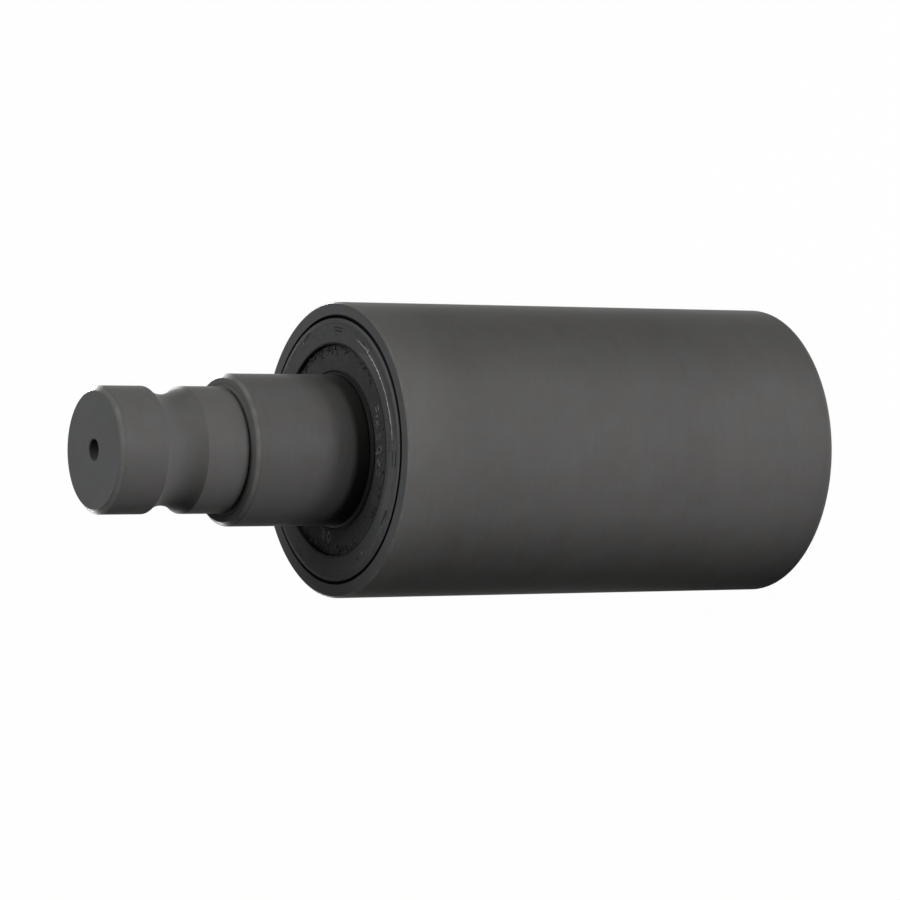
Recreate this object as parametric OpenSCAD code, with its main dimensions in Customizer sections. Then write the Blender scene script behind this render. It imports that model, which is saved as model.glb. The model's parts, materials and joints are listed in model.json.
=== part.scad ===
// Cantilevered conveyor roller. A turned steel shell runs on two sealed ball bearings round a
// stub shaft, whose free end is held in a bracket. The roller stands on the rear end of its
// shell with the shaft pointing up, and +Z is the axis that it turns on.

/* [Roller shell] */
// Length of the shell
roller_len = 152.4; // [100:0.1:300]
// Wall of the shell over the bearing seats
seat_wall = 4.45; // [3:0.05:12]
// Height of the inner land that the bearings are pressed against
land_step = 3; // [1.5:0.1:5]
// Chamfer on the outer edge of each end
rim_chamfer = 0.5; // [0.2:0.1:1]
// Width of the lead-in at the mouth of each bearing seat
mouth_lead_w = 0.35; // [0.1:0.05:0.6]
// Depth of the lead-in at the mouth of each bearing seat
mouth_lead_h = 1; // [0.4:0.1:2]
// How far the front bearing stands out of the shell
bearing_proud = 0.4; // [0:0.1:1]

/* [Bearing] */
// Bore of the bearing, and diameter of its seat on the shaft
bearing_bore = 35; // [25:0.5:60]
// Diameter of a ball
ball_d = 11.1; // [8:0.1:16]
// Number of balls in each bearing
ball_count = 9; // [6:1:9]
// Wall of the inner ring under the balls
inner_web = 3.68; // [2:0.02:6]
// Wall of the outer ring over the balls
outer_web = 7.68; // [3:0.02:12]
// Depth of each raceway below its land
raceway_depth = 2.27; // [1.5:0.01:3]
// Radius of the raceways, as a share of the ball's diameter
raceway_share = 0.52; // [0.515:0.005:0.54]
// Running clearance between a ball and a raceway
ball_clearance = 0.02; // [0.01:0.01:0.05]
// Width of the shallow bevel round the outer ring's faces
bevel_w = 1.3; // [0.5:0.1:2]
// Drop of the shallow bevel round the outer ring's faces
bevel_drop = 0.3; // [0.1:0.05:0.5]
// Width of the corner break at the outer ring's outside diameter
corner_w = 0.5; // [0.2:0.1:1]
// Height of the corner break at the outer ring's outside diameter
corner_h = 1; // [0.5:0.1:2]
// Chamfer on the edges of the inner ring
inner_ring_chamfer = 0.8; // [0.3:0.1:1.5]

/* [Cage] */
// Thickness of the cage's steel strip
cage_t = 0.8; // [0.5:0.1:1.2]
// Clearance of a ball in its pocket
pocket_clearance = 0.12; // [0.05:0.01:0.3]
// Clearance between the cage and the lands of the rings
cage_side_gap = 0.75; // [0.4:0.05:1.2]
// Clearance between the cage and the seals
cage_end_gap = 0.13; // [0.1:0.01:0.5]
// Diameter of a cage rivet
rivet_d = 1.6; // [1:0.1:2]
// Diameter of a rivet's head
rivet_head_d = 2.8; // [2:0.1:3.4]
// Height of a rivet's head
rivet_head_h = 0.6; // [0.3:0.1:1]

/* [Seals] */
// Thickness of the seal's web
seal_t = 0.8; // [0.5:0.05:1.5]
// Depth of the seal's web below the ring faces
seal_recess = 1.1; // [0.6:0.05:2]
// Radial width of the collar round the inner ring
collar_w = 0.65; // [0.5:0.05:1.5]
// Depth of the collar below the ring faces
collar_recess = 0.2; // [0.1:0.05:0.5]
// Running clearance of the sealing lip on the inner ring
lip_clearance = 0.05; // [0.02:0.01:0.1]
// Radial step from the outer land to the seal's mouth
mouth_step = 1.7; // [1:0.1:2.5]
// Depth of the snap groove behind the mouth
snap_depth = 0.95; // [0.5:0.05:1.5]
// Height of the outer ring's lip over the snap groove
snap_lip = 1.3; // [0.8:0.05:1.3]
// Clearance of the seal's bead in its snap groove
bead_clearance = 0.05; // [0.02:0.01:0.1]

/* [Shaft] */
// Diameter of the journal that the bracket holds
journal_d = 37.6; // [30:0.1:45]
// Length of the journal
journal_len = 42.1; // [36:0.1:80]
// Chamfer on the journal's end
journal_chamfer = 1.5; // [0.5:0.1:3]
// Radial step from the inner ring's land down to the shoulder
shoulder_inset = 0.8; // [0.3:0.05:2]
// Radius of the relief turned at the root of the journal
root_r = 0.9; // [0.4:0.05:2]
// How deep the relief goes into the journal
root_depth = 0.35; // [0.1:0.05:1]
// How deep the relief goes into the shoulder's face
root_face = 0.2; // [0.05:0.05:1]
// Reach of the shoulder beyond the shell's front end
shoulder_reach = 37.8; // [5:0.1:80]
// Chamfer on the shoulder's front edge
shoulder_chamfer = 1.3; // [0.5:0.1:2]
// Edge break where the shoulder meets the inner ring
shoulder_relief = 0.3; // [0.1:0.05:0.6]
// Clearance of the bearings on the shaft and in the shell
seat_clearance = 0.01; // [0.01:0.01:0.03]

/* [Retaining groove] */
// Distance from the shaft's end to the middle of the groove
groove_centre = 21.5; // [12:0.1:26]
// Radius of the groove's arc
groove_arc_r = 9.8; // [4:0.1:14]
// Depth of the groove below the journal
groove_depth = 2.5; // [1:0.1:4]

/* [Centre hole] */
// Diameter of the hole in the shaft's end
hole_d = 6.35; // [3:0.05:12]
// Depth of the hole's straight part
hole_depth = 25; // [10:1:60]
// Width of the countersink at the hole's mouth
hole_countersink = 0.3; // [0.1:0.1:1]

/* [Rear fixing] */
// Gap between the shaft's rear end and the surface that the shell stands on
shaft_end_gap = 1; // [0.5:0.1:5]
// Length of shaft left outside its circlip groove
shaft_edge = 3; // [2:0.1:6]
// Chamfer on the shaft's rear end
shaft_end_chamfer = 1; // [0.5:0.1:2]
// Thickness of the shaft circlip
shaft_clip_t = 1.5; // [1:0.05:2]
// Depth of the shaft circlip's groove
shaft_clip_depth = 1; // [0.6:0.05:1.5]
// Thickness of the support washer
washer_t = 1.5; // [1:0.1:3]
// Radial width of the support washer
washer_w = 5; // [3:0.1:5.5]
// Thickness of the bore circlip
bore_clip_t = 2.5; // [1.5:0.1:3]
// Depth of the bore circlip's groove
bore_clip_depth = 1.75; // [1:0.05:2]
// Axial and radial play of both circlips in their grooves
clip_play = 0.05; // [0.02:0.01:0.1]
// Radial wall of the spacer sleeve
spacer_wall = 4.4; // [2:0.1:5]

/* [Circlips] */
// Width of the shaft circlip opposite its gap
shaft_clip_wide = 3.6; // [2.5:0.1:5]
// Width of the shaft circlip beside its gap
shaft_clip_thin = 1.8; // [1:0.1:2.4]
// Radius of the shaft circlip's eyes
shaft_eye_r = 2.7; // [2:0.1:3.5]
// Diameter of the plier holes in the shaft circlip
shaft_eye_hole_d = 2.5; // [1.5:0.1:3]
// Angle from the middle of the shaft circlip's gap to each eye
shaft_eye_angle = 15; // [12:1:25]
// Width of the bore circlip opposite its gap
bore_clip_wide = 7.2; // [5:0.1:9]
// Width of the bore circlip beside its gap
bore_clip_thin = 3.6; // [2:0.1:4.5]
// Radius of the bore circlip's eyes
bore_eye_r = 4; // [3:0.1:4.5]
// Diameter of the plier holes in the bore circlip
bore_eye_hole_d = 3; // [2:0.1:3.5]
// Angle from the middle of the bore circlip's gap to each eye
bore_eye_angle = 10; // [9:1:20]

/* [Hidden] */
BALLS = [1:ball_count];
$fn = 96;
past = 1; // how far a cutting shape runs past the surface that it cuts

// Bearing, from the bore outwards and from its middle plane towards each face
bore_r = bearing_bore / 2;
ball_r = ball_d / 2;
raceway_r = ball_d * raceway_share;
inner_race_r = bore_r + inner_web;
pitch_r = inner_race_r + ball_clearance + ball_r;
outer_race_r = pitch_r + ball_r + ball_clearance;
inner_land_r = inner_race_r + raceway_depth;
outer_land_r = outer_race_r - raceway_depth;
outer_r = outer_race_r + outer_web;
mouth_r = outer_land_r + mouth_step;
snap_r = mouth_r + snap_depth;
pocket_r = ball_r + pocket_clearance;
cage_in_r = inner_land_r + cage_side_gap;
cage_out_r = outer_land_r - cage_side_gap;
cage_h = pocket_r + cage_t;
web_low = cage_h + cage_end_gap;
web_high = web_low + seal_t;
face_h = web_high + seal_recess;
bearing_w = 2 * face_h;
snap_high = face_h - snap_lip;
snap_low = web_low - snap_depth / 2;
lip_r = inner_land_r + lip_clearance;

// Rear end, from the surface that the shell stands on upwards
shaft_end_z = shaft_end_gap;
shaft_clip_z = shaft_end_z + shaft_edge;
washer_z = shaft_clip_z + shaft_clip_t;
rear_face_z = washer_z + washer_t;
rear_mid_z = rear_face_z + face_h;
bore_clip_z = rear_face_z - bore_clip_t;

// Front end
front_face_z = roller_len + bearing_proud;
front_mid_z = front_face_z - face_h;
land_low_z = rear_mid_z + face_h;
land_high_z = front_mid_z - face_h;

// Shell and shaft
seat_r = outer_r + seat_clearance;
roller_r = outer_r + seat_wall;
land_r = seat_r - land_step;
shaft_seat_r = bore_r - seat_clearance;
shoulder_r = inner_land_r - shoulder_inset;
shoulder_z = roller_len + shoulder_reach;
journal_r = journal_d / 2;
shoulder_edge = min(shoulder_chamfer, shoulder_r - journal_r);
shaft_top_z = shoulder_z + journal_len;
groove_z = shaft_top_z - groove_centre;
hole_r = hole_d / 2;
hole_tip_h = hole_r * tan(31); // a twist drill leaves a cone of 118 degrees

// Bottoms of the circlip grooves
shaft_clip_r = shaft_seat_r - shaft_clip_depth;
bore_clip_r = seat_r + bore_clip_depth;

OXIDE = "#4a4a48";
OXIDE_FACE = "#47474a";
RUBBER = "#2c2c2e";
BEARING_STEEL = "#b9bcc0";
PRESSED_STEEL = "#a5a39b";
SPRING_STEEL = "#5b5f66";

// A half profile [radius, height] and its mirror image below the middle plane, as one outline
function both_halves(half) = concat(half, [for (i = [len(half) - 1:-1:0]) [half[i][0], -half[i][1]]]);

// A ring turned from a profile that is drawn in the XZ plane and moved up by z
module turned(z = 0) {
    translate([0, 0, z]) rotate_extrude() children();
}

// A flat ring from z upwards
module flat_ring(r_in, r_out, z, h) {
    translate([0, 0, z]) linear_extrude(h) difference() {
        circle(r_out);
        circle(r_in);
    }
}

// Copies its children to each ball's place, or to the places halfway between the balls
module round_pitch_circle(half_step = 0) {
    for (i = BALLS)
        rotate(360 / ball_count * (i - 1 + half_step)) translate([pitch_r, 0, 0]) children();
}

// Turned shell: a seat with a lead-in at each end, an inner land between them, and the rear
// seat's circlip groove
module roller_shell() {
    color(OXIDE) turned() difference() {
        polygon([
            [land_r, land_low_z],
            [seat_r, land_low_z],
            [seat_r, mouth_lead_h],
            [seat_r + mouth_lead_w, 0],
            [roller_r - rim_chamfer, 0],
            [roller_r, rim_chamfer],
            [roller_r, roller_len - rim_chamfer],
            [roller_r - rim_chamfer, roller_len],
            [seat_r + mouth_lead_w, roller_len],
            [seat_r, roller_len - mouth_lead_h],
            [seat_r, land_high_z],
            [land_r, land_high_z]
        ]);
        translate([seat_r - past, bore_clip_z - clip_play])
            square([past + bore_clip_depth, bore_clip_t + clip_play]);
    }
}

// Stub shaft in one piece: bearing seat, shoulder, grooved journal and the hole in its end
module shaft() {
    color(OXIDE) difference() {
        turned() difference() {
            polygon([
                [0, shaft_end_z],
                [shaft_seat_r - shaft_end_chamfer, shaft_end_z],
                [shaft_seat_r, shaft_end_z + shaft_end_chamfer],
                [shaft_seat_r, front_face_z],
                [shoulder_r - shoulder_relief, front_face_z],
                [shoulder_r, front_face_z + shoulder_relief],
                [shoulder_r, shoulder_z - shoulder_edge],
                [shoulder_r - shoulder_edge, shoulder_z],
                [journal_r, shoulder_z],
                [journal_r, shaft_top_z - journal_chamfer],
                [journal_r - journal_chamfer, shaft_top_z],
                [0, shaft_top_z]
            ]);
            translate([shaft_clip_r, shaft_clip_z - clip_play])
                square([shaft_clip_depth + past, shaft_clip_t + clip_play]);
            translate([journal_r - groove_depth + groove_arc_r, groove_z]) circle(groove_arc_r);
            translate([journal_r - root_depth + root_r, shoulder_z - root_face + root_r]) circle(root_r);
        }
        translate([0, 0, shaft_top_z - hole_depth]) cylinder(r = hole_r, h = hole_depth + past);
        translate([0, 0, shaft_top_z - hole_depth - hole_tip_h])
            cylinder(r1 = 0, r2 = hole_r, h = hole_tip_h);
        translate([0, 0, shaft_top_z - hole_countersink])
            cylinder(r1 = hole_r, r2 = hole_r + 2 * hole_countersink, h = 2 * hole_countersink);
    }
}

// Sleeve that keeps the inner rings apart
module spacer_sleeve() {
    color(PRESSED_STEEL)
        flat_ring(bore_r, bore_r + spacer_wall, land_low_z, land_high_z - land_low_z);
}

// Washer between the rear inner ring and the shaft circlip
module support_washer() {
    color(SPRING_STEEL) flat_ring(bore_r, bore_r + washer_w, washer_z, washer_t);
}

// Two round eyes, at radius r and the given angle to each side of +X
module eyes(r, eye_r, angle) {
    for (side = [-1, 1]) rotate(side * angle) translate([r, 0]) circle(eye_r);
}

// The open sector between a circlip's two ends
module clip_gap(r, angle) {
    polygon([[0, 0], [r, -r * tan(angle)], [r, r * tan(angle)]]);
}

// Circlip in the shaft's rear groove, wide opposite its gap and thin beside it
module shaft_circlip() {
    mean = (shaft_clip_wide + shaft_clip_thin) / 2;
    off = (shaft_clip_wide - shaft_clip_thin) / 2;
    eye_at = shaft_clip_r + shaft_clip_thin + shaft_eye_r / 2;
    color(SPRING_STEEL) translate([0, 0, shaft_clip_z]) linear_extrude(shaft_clip_t) difference() {
        union() {
            translate([-off, 0]) circle(shaft_clip_r + mean);
            eyes(eye_at, shaft_eye_r, shaft_eye_angle);
        }
        circle(shaft_clip_r + clip_play);
        eyes(eye_at, shaft_eye_hole_d / 2, shaft_eye_angle);
        clip_gap(eye_at + 2 * shaft_eye_r, shaft_eye_angle / 2);
    }
}

// Circlip in the shell's rear groove, with its eyes turned inwards
module bore_circlip() {
    mean = (bore_clip_wide + bore_clip_thin) / 2;
    off = (bore_clip_wide - bore_clip_thin) / 2;
    eye_at = bore_clip_r - bore_clip_thin - bore_eye_r / 2;
    color(SPRING_STEEL) translate([0, 0, bore_clip_z]) linear_extrude(bore_clip_t) difference() {
        intersection() {
            circle(bore_clip_r - clip_play);
            union() {
                difference() {
                    circle(bore_clip_r + past);
                    translate([off, 0]) circle(bore_clip_r - mean);
                }
                eyes(eye_at, bore_eye_r, bore_eye_angle);
            }
        }
        eyes(eye_at, bore_eye_hole_d / 2, bore_eye_angle);
        clip_gap(bore_clip_r + past, bore_eye_angle / 3);
    }
}

// Outer ring: raceway, a mouth and snap groove for each seal, and a shallow bevel on each face
module outer_ring(z) {
    half = [
        [outer_land_r, snap_low],
        [snap_r, snap_low],
        [snap_r, snap_high],
        [mouth_r, snap_high],
        [mouth_r, face_h],
        [outer_r - corner_w - bevel_w, face_h],
        [outer_r - corner_w, face_h - bevel_drop],
        [outer_r, face_h - bevel_drop - corner_h]
    ];
    color(OXIDE_FACE) turned(z) difference() {
        polygon(both_halves(half));
        translate([outer_race_r - raceway_r, 0]) circle(raceway_r);
    }
}

// Inner ring: raceway and a plain land for each sealing lip
module inner_ring(z) {
    half = [
        [bore_r, face_h - inner_ring_chamfer],
        [bore_r + inner_ring_chamfer, face_h],
        [inner_land_r - shoulder_relief, face_h],
        [inner_land_r, face_h - shoulder_relief]
    ];
    color(BEARING_STEEL) turned(z) difference() {
        polygon(both_halves(half));
        translate([inner_race_r + raceway_r, 0]) circle(raceway_r);
    }
}

// One pressed half of the ribbon cage: a flat strip between the balls and a cap over each ball
module cage_half() {
    difference() {
        intersection() {
            flat_ring(cage_in_r, cage_out_r, 0, cage_h);
            union() {
                flat_ring(cage_in_r - past, cage_out_r + past, 0, cage_t);
                round_pitch_circle() sphere(pocket_r + cage_t);
            }
        }
        round_pitch_circle() sphere(pocket_r);
        round_pitch_circle(half_step = 0.5)
            translate([0, 0, -past]) cylinder(d = rivet_d, h = cage_t + 2 * past);
    }
}

module cage_upper(z) {
    color(PRESSED_STEEL) translate([0, 0, z]) cage_half();
}

module cage_lower(z) {
    color(PRESSED_STEEL) translate([0, 0, z]) rotate([180, 0, 0]) cage_half();
}

// Rivets that clinch the two halves of a cage, one between each pair of balls
module cage_rivets(z) {
    color(PRESSED_STEEL) translate([0, 0, z]) round_pitch_circle(half_step = 0.5) {
        cylinder(d = rivet_d, h = 2 * cage_t, center = true);
        for (side = [-1, 1])
            translate([0, 0, side * (cage_t + rivet_head_h / 2)])
                cylinder(d = rivet_head_d, h = rivet_head_h, center = true);
    }
}

// Moulded rubber seal above the middle plane: collar and lip at the inner ring, a recessed web,
// and a bead that snaps behind the outer ring's lip
module seal() {
    edge = collar_w / 4;
    bead_r = snap_r - bead_clearance;
    bead_high = snap_high - bead_clearance;
    bead_low = snap_low + bead_clearance;
    polygon([
        [lip_r, web_low + edge],
        [lip_r + edge, web_low],
        [outer_land_r + edge, web_low],
        [outer_land_r + edge, bead_low],
        [bead_r - edge, bead_low],
        [bead_r, bead_low + edge],
        [bead_r, bead_high - edge],
        [bead_r - edge, bead_high],
        [mouth_r - edge, bead_high],
        [mouth_r - 2 * edge, web_high],
        [lip_r + collar_w + edge, web_high],
        [lip_r + collar_w, web_high + edge],
        [lip_r + collar_w, face_h - collar_recess - edge],
        [lip_r + collar_w - edge, face_h - collar_recess],
        [lip_r + edge, face_h - collar_recess],
        [lip_r, face_h - collar_recess - edge]
    ]);
}

module seal_upper(z) {
    color(RUBBER) turned(z) seal();
}

module seal_lower(z) {
    color(RUBBER) turned(z) mirror([0, 1]) seal();
}

module ball(z, i) {
    color(BEARING_STEEL) translate([0, 0, z]) rotate(360 / ball_count * (i - 1))
        translate([pitch_r, 0, 0]) sphere(ball_r);
}

roller_shell();
shaft();
spacer_sleeve();
support_washer();
shaft_circlip();
bore_circlip();
outer_ring(front_mid_z);  // front_outer_ring
inner_ring(front_mid_z);  // front_inner_ring
cage_upper(front_mid_z);  // front_cage_upper
cage_lower(front_mid_z);  // front_cage_lower
cage_rivets(front_mid_z);  // front_cage_rivets
seal_upper(front_mid_z);  // front_seal_outboard
seal_lower(front_mid_z);  // front_seal_inboard
outer_ring(rear_mid_z);  // rear_outer_ring
inner_ring(rear_mid_z);  // rear_inner_ring
cage_upper(rear_mid_z);  // rear_cage_upper
cage_lower(rear_mid_z);  // rear_cage_lower
cage_rivets(rear_mid_z);  // rear_cage_rivets
seal_lower(rear_mid_z);  // rear_seal_outboard
seal_upper(rear_mid_z);  // rear_seal_inboard
for (i = BALLS) {
    ball(front_mid_z, i);
    ball(rear_mid_z, i);
}
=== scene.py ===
"""Looks of a cantilevered conveyor roller: oxide-finished steel, a sealed bearing and its seal."""

import json
import math

import bmesh
import bpy
import numpy as np
from mathutils import Matrix, Vector


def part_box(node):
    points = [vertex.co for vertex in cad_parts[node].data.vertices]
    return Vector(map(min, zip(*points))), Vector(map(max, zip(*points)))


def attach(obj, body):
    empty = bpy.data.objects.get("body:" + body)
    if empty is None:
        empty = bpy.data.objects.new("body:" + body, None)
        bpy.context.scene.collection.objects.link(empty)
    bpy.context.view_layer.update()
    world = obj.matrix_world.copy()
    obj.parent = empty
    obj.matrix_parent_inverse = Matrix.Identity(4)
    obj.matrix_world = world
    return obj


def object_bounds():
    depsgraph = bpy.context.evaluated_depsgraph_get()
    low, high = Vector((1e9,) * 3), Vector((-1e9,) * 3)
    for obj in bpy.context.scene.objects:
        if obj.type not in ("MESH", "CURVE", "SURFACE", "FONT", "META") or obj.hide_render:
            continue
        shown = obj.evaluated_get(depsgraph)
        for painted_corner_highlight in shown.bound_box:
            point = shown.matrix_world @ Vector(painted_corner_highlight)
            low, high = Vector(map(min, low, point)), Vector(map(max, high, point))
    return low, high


MM = 0.001
TURN = 2 * math.pi

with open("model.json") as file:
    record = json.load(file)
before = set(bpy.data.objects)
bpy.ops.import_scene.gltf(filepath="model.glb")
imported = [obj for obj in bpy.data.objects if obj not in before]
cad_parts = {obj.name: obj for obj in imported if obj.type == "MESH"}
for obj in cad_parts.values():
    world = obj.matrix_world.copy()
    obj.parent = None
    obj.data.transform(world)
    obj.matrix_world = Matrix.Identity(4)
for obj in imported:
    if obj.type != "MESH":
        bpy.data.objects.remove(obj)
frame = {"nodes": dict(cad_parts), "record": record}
cad_low, cad_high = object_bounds()

# ---------------------------------------------------------------- places read from the frame
shell_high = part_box("roller_shell")[1]
shaft_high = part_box("shaft")[1]
ring_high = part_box("front_outer_ring")[1]
seal_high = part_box("front_seal_outboard")[1]

SHELL_R = shell_high.x
SHELL_END = shell_high.z
SHAFT_END = shaft_high.z
RING_FACE = ring_high.z
WEB_DEPTH = 0.9 * MM  # from the seal's collar down to its web
WEB_FACE = seal_high.z - WEB_DEPTH
MOUTH_R = 31.75 * MM  # the ring's bore where the seal snaps in
JOURNAL_R = 18.8 * MM
SHOULDER_R = 21.9 * MM
SHOULDER_TOP = SHAFT_END - 42.8 * MM


def fade_cosines(half, soft):
    """The cosines between which a sector fades: at half - soft degrees and at half + soft degrees."""
    return math.cos(math.radians(max(half - soft, 0))), math.cos(math.radians(half + soft))


def times(colour, factor):
    return tuple(factor * value for value in colour)


# ---------------------------------------------------------------- shader expressions
class Wire:
    """An output of a finish's node tree. An expression on wires and numbers adds Math nodes."""

    def __init__(self, finish, socket):
        self.finish = finish
        self.socket = socket

    def math(self, operation, *others):
        return self.finish.node("ShaderNodeMath", {"operation": operation}, dict(enumerate([self, *others])))

    def __add__(self, other):
        return self.math("ADD", other)

    def __radd__(self, other):
        return self.finish.number("ADD", other, self)

    def __sub__(self, other):
        return self.math("SUBTRACT", other)

    def __rsub__(self, other):
        return self.finish.number("SUBTRACT", other, self)

    def __mul__(self, other):
        return self.math("MULTIPLY", other)

    def __rmul__(self, other):
        return self.finish.number("MULTIPLY", other, self)

    def __pow__(self, other):
        return self.math("POWER", other)

    def __abs__(self):
        return self.math("ABSOLUTE")

    def over(self, low, high):
        """0 below low, 1 above high, and straight between them."""
        return self.finish.node(
            "ShaderNodeMapRange", {"clamp": True}, {"Value": self, "From Min": low, "From Max": high}
        )

    def larger(self, other):
        return self.math("MAXIMUM", other)


class Finish:
    """A material with a Principled shader, and the nodes that vary it over a surface."""

    def __init__(self, name, **constants):
        self.material = bpy.data.materials.new(name)
        self.material.use_nodes = True
        self.tree = self.material.node_tree
        self.tree.nodes.clear()
        self.shader = self.tree.nodes.new("ShaderNodeBsdfPrincipled")
        output = self.tree.nodes.new("ShaderNodeOutputMaterial")
        self.tree.links.new(self.shader.outputs[0], output.inputs["Surface"])
        for socket, value in constants.items():
            self.shader.inputs[socket.replace("_", " ")].default_value = value

    def node(self, kind, settings=None, sockets=None, out=0):
        """Adds a node: its settings first, then the values or links of its sockets."""
        made = self.tree.nodes.new(kind)
        for key, value in (settings or {}).items():
            setattr(made, key, value)
        for key, value in (sockets or {}).items():
            if isinstance(value, Wire):
                self.tree.links.new(value.socket, made.inputs[key])
            else:
                made.inputs[key].default_value = value
        return Wire(self, made.outputs[out])

    def number(self, operation, first, second):
        return self.node("ShaderNodeMath", {"operation": operation}, {0: first, 1: second})

    def place(self):
        return self.node("ShaderNodeTexCoord", out="Object")

    def axis(self, vector, name):
        return self.node("ShaderNodeSeparateXYZ", None, {"Vector": vector}, name)

    def vector(self, x, y, z):
        return self.node("ShaderNodeCombineXYZ", None, {"X": x, "Y": y, "Z": z})

    def turned_place(self, around=0.0):
        """(distance from the axis, angle times around, height), in which a turned surface has level lines."""
        place = self.place()
        x, y, z = (self.axis(place, name) for name in "XYZ")
        radius = (x * x + y * y) ** 0.5
        angle = self.number("ARCTAN2", y, x)
        return radius, angle, z, self.vector(radius, angle * around, z)

    def noise(self, vector, size, detail=2.0, roughness=0.5):
        """Noise from 0 to 1 whose patches are about size metres across."""
        return self.node(
            "ShaderNodeTexNoise",
            {"noise_dimensions": "3D"},
            {"Vector": vector, "Scale": 1 / size, "Detail": detail, "Roughness": roughness},
        )

    def mix(self, factor, first, second, blend="MIX"):
        """A mix of two colours."""
        made = self.tree.nodes.new("ShaderNodeMix")
        made.data_type = "RGBA"
        made.blend_type = blend
        for index, value in ((0, factor), (6, first), (7, second)):
            if isinstance(value, Wire):
                self.tree.links.new(value.socket, made.inputs[index])
            else:
                made.inputs[index].default_value = (*value, 1) if isinstance(value, tuple) else value
        return Wire(self, made.outputs[2])

    def shaded(self, colour, shade):
        """A colour times a wire that varies about 1."""
        return self.mix(1.0, self.vector(shade, shade, shade), colour, "MULTIPLY")

    def band(self, wire, low, high, soft):
        """1 where wire lies between low and high, with edges that fade over soft."""
        return wire.over(low - soft, low + soft) * (1 - wire.over(high - soft, high + soft))

    def sector(self, angle, middle, half, soft=1.0):
        """1 within half degrees of a middle angle in degrees, for an angle wire in radians."""
        near, far = fade_cosines(half, soft)
        return (angle - math.radians(middle)).math("COSINE").over(far, near)

    def bump(self, height, depth, under=None):
        """A normal from a height of 0 to 1 that stands for depth metres."""
        sockets = {"Height": height, "Strength": 1.0, "Distance": depth}
        if under is not None:
            sockets["Normal"] = under
        return self.node("ShaderNodeBump", None, sockets)

    def set(self, **wires):
        for socket, wire in wires.items():
            self.tree.links.new(wire.socket, self.shader.inputs[socket.replace("_", " ")])
        return self.material


# ---------------------------------------------------------------- steel finishes
# Angles in the tables are in degrees, clockwise from +X as seen from the shaft's end. The shader's own angle runs
# the other way, so a sector takes minus the table's angle.
# Each etched mark is (middle angle, half its width, lowest radius, highest radius), radii in millimetres.
ETCHED_MARKS = (
    (-25.5, 2.6, 37.05, 37.35),
    (-23.1, 2.5, 37.65, 37.95),
    (6.0, 3.9, 36.6, 36.95),
    (6.0, 3.5, 35.6, 36.0),
    (31.0, 1.1, 36.1, 36.9),
    (94.2, 3.9, 37.5, 37.9),
    (94.2, 3.9, 35.8, 36.05),
    (123.0, 4.2, 36.3, 36.75),
    (120.5, 2.0, 37.1, 37.4),
    (155.0, 1.4, 35.5, 35.9),
    (-147.4, 2.6, 37.0, 37.35),
)
LIGHT_NICKS = (
    (31.5, 0.7, 36.2, 36.7),
    (36.0, 0.9, 36.0, 36.9),
    (-29.4, 0.6, 36.7, 37.2),
    (150.0, 0.8, 35.0, 35.6),
)
MARK_SPREAD = 0.06 * MM
# Near black, for painted shade in crevices and corners.
SHADE_BLACK = (0.004, 0.004, 0.004)
# Near black, for caked grease and for painted shade round the seal's collar.
GREASE_AND_SHADE_BLACK = (0.006, 0.006, 0.006)


def etched_face(finish, place, radius, angle, turned, base, rough, colour):
    """A bearing ring's face with etched marks, wear, smudges, painted shade and painted highlights: returns (colour,
    roughness, cut marks).
    """
    cut = None
    for middle, half, low, high in ETCHED_MARKS:
        width = finish.band(radius, low * MM - MARK_SPREAD, high * MM + MARK_SPREAD, 0.07 * MM)
        mark = finish.sector(angle, -middle, half, 0.35) * width
        cut = mark if cut is None else cut.larger(mark)
    cut = cut * finish.noise(place, 0.7 * MM, 3.0, 0.6).over(0.22, 0.42)
    step = finish.band(radius, 37.95 * MM, 38.1 * MM, 0.08 * MM) * (
        finish.sector(angle, -3, 14, 6).larger(finish.sector(angle, 178, 20, 8))
    )
    around = finish.turned_place(around=0.012)[3]
    smudge = finish.noise(around, 1.1 * MM, 3.0, 0.7).over(0.52, 0.72) * 0.32
    # Painted shade: the face darkens toward the ring's mouth, more in two sectors.
    heavy = finish.sector(angle, 12, 32, 8).larger(finish.sector(angle, 178, 20, 8))
    mouth_shade = (1 - radius.over(32.15 * MM, 32.6 * MM)) * (0.5 + heavy * 0.6)
    dark = cut.larger(step * 0.7).larger(smudge).larger(mouth_shade)
    light = times(colour, 2.0)

    # Painted highlight: the outer part of the face is lighter toward -Y; the same mask lowers the roughness there.
    polish_and_painted_highlight = finish.sector(angle, -88, 42, 24) * finish.band(radius, 36.3 * MM, 39.4 * MM, 0.15 * MM)
    streaks = finish.noise(turned, 0.45 * MM, 3.0, 0.7).over(0.35, 0.65)
    base = finish.mix(polish_and_painted_highlight * (0.08 + streaks * 0.30), base, light)
    # Painted highlight along the ring's outer corner, toward -Y and +X.
    painted_corner_highlight = finish.sector(angle, -66, 40, 28) * finish.band(radius, 38.95 * MM, 39.6 * MM, 0.15 * MM)
    base = finish.mix(painted_corner_highlight * (0.55 + streaks * 0.25), base, light)
    worn_low = finish.sector(angle, -52, 32, 10) * finish.band(radius, 36.9 * MM, 38.4 * MM, 0.2 * MM)
    base = finish.mix(worn_low * 0.28, base, times(colour, 0.3))
    # Painted light: a lighter patch on the face toward -Y and a little -X.
    painted_light_patch = finish.sector(angle, -108, 12, 12) * finish.band(radius, 33.8 * MM, 36.6 * MM, 0.4 * MM)
    base = finish.mix(painted_light_patch * 0.3, base, light)
    for middle, half, low, high in LIGHT_NICKS:
        nick = finish.sector(angle, -middle, half, 0.4) * finish.band(radius, low * MM, high * MM, 0.12 * MM)
        base = finish.mix(nick * 0.6, base, times(colour, 2.6))
    base = finish.mix(dark * 0.85, base, times(colour, 0.22))
    return base, rough - polish_and_painted_highlight * 0.12, cut


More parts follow.
